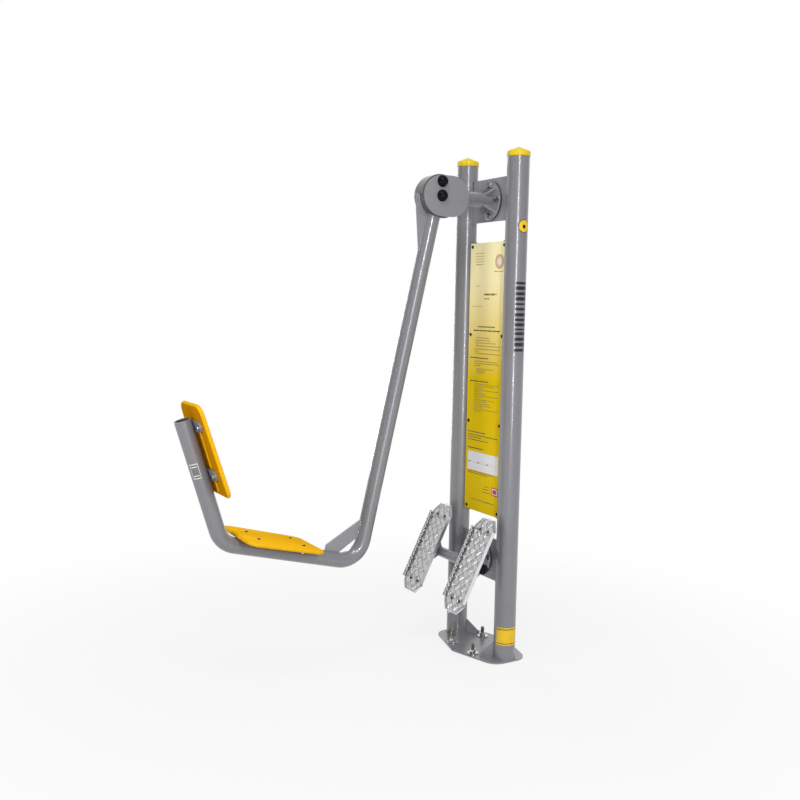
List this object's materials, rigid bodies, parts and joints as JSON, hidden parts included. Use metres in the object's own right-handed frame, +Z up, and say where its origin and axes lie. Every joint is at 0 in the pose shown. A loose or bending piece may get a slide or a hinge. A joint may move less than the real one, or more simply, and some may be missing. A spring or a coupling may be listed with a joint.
{
  "type": "outdoor leg press",
  "caption": "Street gym leg press: a tall steel pylon with an information board carries a swinging bent-tube seat with a backrest and fixed, tilted tread plates for the feet.",
  "frame": {"origin": "on the ground in the middle of the base plate's underside, midway between the two posts", "axes": "+Z up, +X from the seat towards the pylon, +Y from the near post to the far post, seat frame hanging against its stop"},
  "size_m": [1.4674, 0.4588, 2.073],
  "materials": {
    "steel_paint": "silver grey powder coat",
    "cap_yellow": "yellow moulded plastic",
    "board_face": "printed yellow panel",
    "seat_plastic": "orange yellow board plastic",
    "tread_aluminium": "bright diamond tread plate",
    "zinc_fasteners": "zinc plated",
    "shaft_steel": "ground steel",
    "black_plastic": "black",
    "stop_rubber": "black rubber",
    "bush_bronze": "oiled bronze"
  },
  "bodies": {
    "pylon": {"base_plate": "steel_paint", "near_post": "steel_paint", "far_post": "steel_paint", "post_foot_ribs": "steel_paint", "near_post_cap": "cap_yellow", "far_post_cap": "cap_yellow", "post_cap_screws": "zinc_fasteners", "anchor_studs": "zinc_fasteners", "anchor_washers": "zinc_fasteners", "anchor_nuts": "zinc_fasteners", "info_board": "board_face", "board_lugs": "steel_paint", "board_screws": "black_plastic", "board_nuts": "zinc_fasteners", "top_bracket_plate": "steel_paint", "lower_bracket_plate": "steel_paint", "support_flange": "steel_paint", "support_tube": "steel_paint", "support_gussets": "steel_paint", "flange_bolts": "zinc_fasteners", "flange_washers": "zinc_fasteners", "flange_nuts": "zinc_fasteners", "near_hub_plate": "steel_paint", "far_hub_plate": "steel_paint", "pivot_shaft": "shaft_steel", "stop_bolt": "shaft_steel", "stop_sleeve": "stop_rubber", "hub_nuts": "zinc_fasteners", "hub_dome_caps": "black_plastic", "pedal_support_flange": "steel_paint", "pedal_support_tube": "steel_paint", "pedal_support_gussets": "steel_paint", "pedal_crossbar": "steel_paint", "crossbar_end_caps": "black_plastic", "pedal_carriers": "steel_paint", "carrier_ribs": "steel_paint", "left_pedal": "tread_aluminium", "right_pedal": "tread_aluminium", "pedal_screws": "zinc_fasteners", "pedal_nuts": "zinc_fasteners"},
    "swing_frame": {"pivot_bushes": "bush_bronze", "bearing_hub": "steel_paint", "hub_drum": "steel_paint", "stop_fins": "steel_paint", "hub_webs": "steel_paint", "hub_gusset": "steel_paint", "swing_tube": "steel_paint", "corner_brace": "steel_paint", "tube_end_plug": "black_plastic", "seat_board": "seat_plastic", "seat_cross_bars": "steel_paint", "seat_bolts": "zinc_fasteners", "seat_nuts": "zinc_fasteners", "backrest_board": "seat_plastic", "backrest_cross_bars": "steel_paint", "backrest_bolts": "zinc_fasteners", "backrest_nuts": "zinc_fasteners"}
  },
  "joints": [
    {"name": "seat_swing", "type": "hinge", "parent": "pylon", "child": "swing_frame", "pos_m": [-0.265, 0, 1.877], "axis": [0, 1, 0], "range_deg": [0, 35]}
  ]
}
